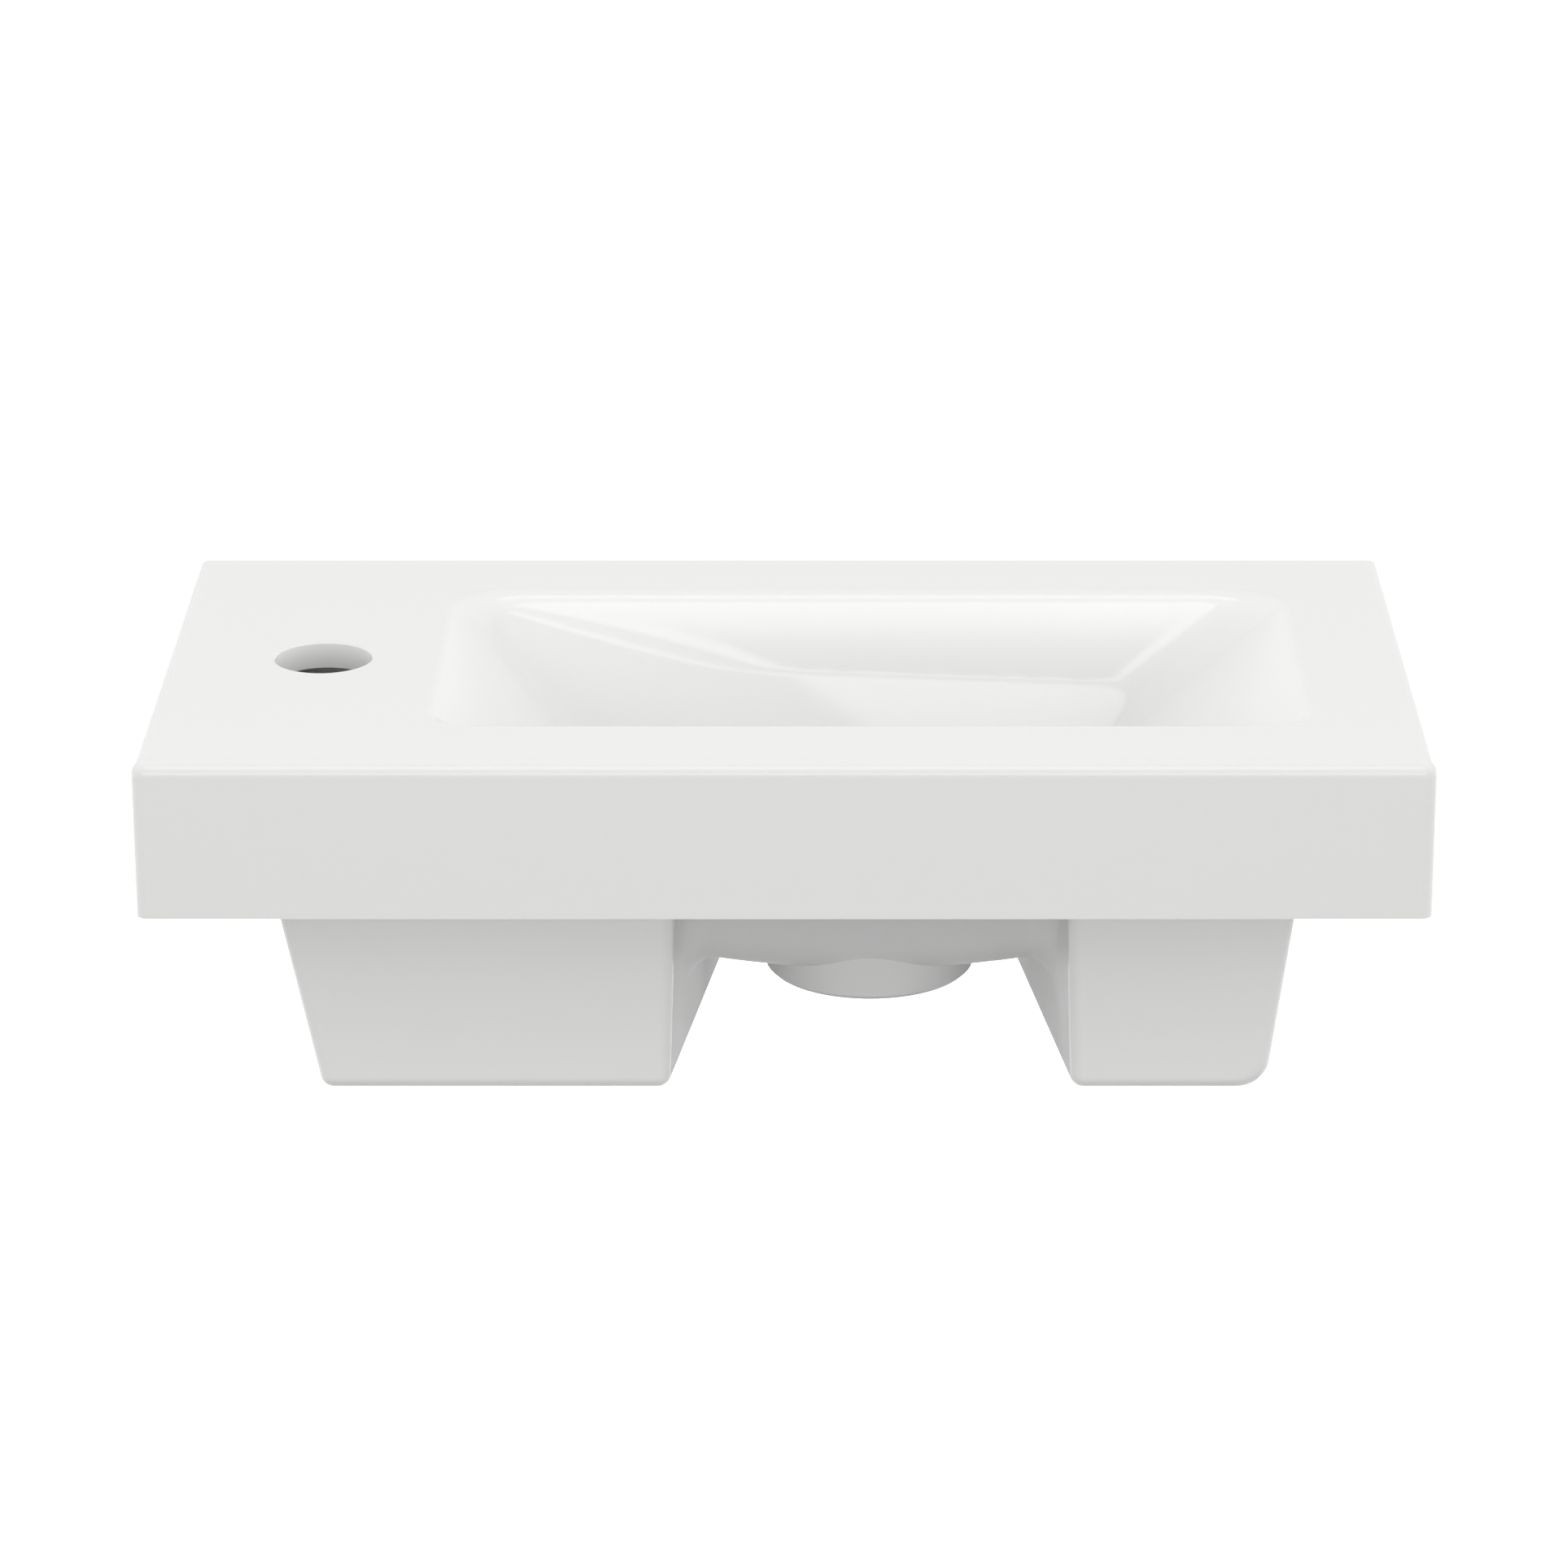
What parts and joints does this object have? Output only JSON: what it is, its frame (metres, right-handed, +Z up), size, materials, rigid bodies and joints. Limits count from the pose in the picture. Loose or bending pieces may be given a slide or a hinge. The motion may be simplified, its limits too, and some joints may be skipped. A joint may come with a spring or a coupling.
{
  "type": "wall-hung cloakroom basin",
  "caption": "Small wall-hung ceramic basin with a faceted bowl on the right, a flat deck with a tap hole on the left, hollow legs that hide the wall bolts, and its wall fixings.",
  "frame": {"origin": "on the wall plane, at the middle of the slab's back face: midway along the basin, 28.5 mm below the deck and 63.5 mm above the axes of the two wall fixings", "axes": "+X to the right as a person facing the basin sees it, along the basin's length; +Y into the wall, the way the fixings go; +Z up"},
  "size_m": [0.45, 0.298, 0.1382],
  "materials": {
    "glazed_ceramic": "glossy white glaze",
    "zinc_plated_steel": "zinc plated",
    "grey_nylon": "moulded, matte",
    "white_plastic": "moulded, matte"
  },
  "bodies": {
    "root": {"basin_body": "glazed_ceramic", "hanger_bolt_left": "zinc_plated_steel", "wall_plug_left": "grey_nylon", "fixing_sleeve_left": "white_plastic", "fixing_washer_left": "zinc_plated_steel", "fixing_nut_left": "zinc_plated_steel", "hanger_bolt_right": "zinc_plated_steel", "wall_plug_right": "grey_nylon", "fixing_sleeve_right": "white_plastic", "fixing_washer_right": "zinc_plated_steel", "fixing_nut_right": "zinc_plated_steel"}
  },
  "joints": []
}
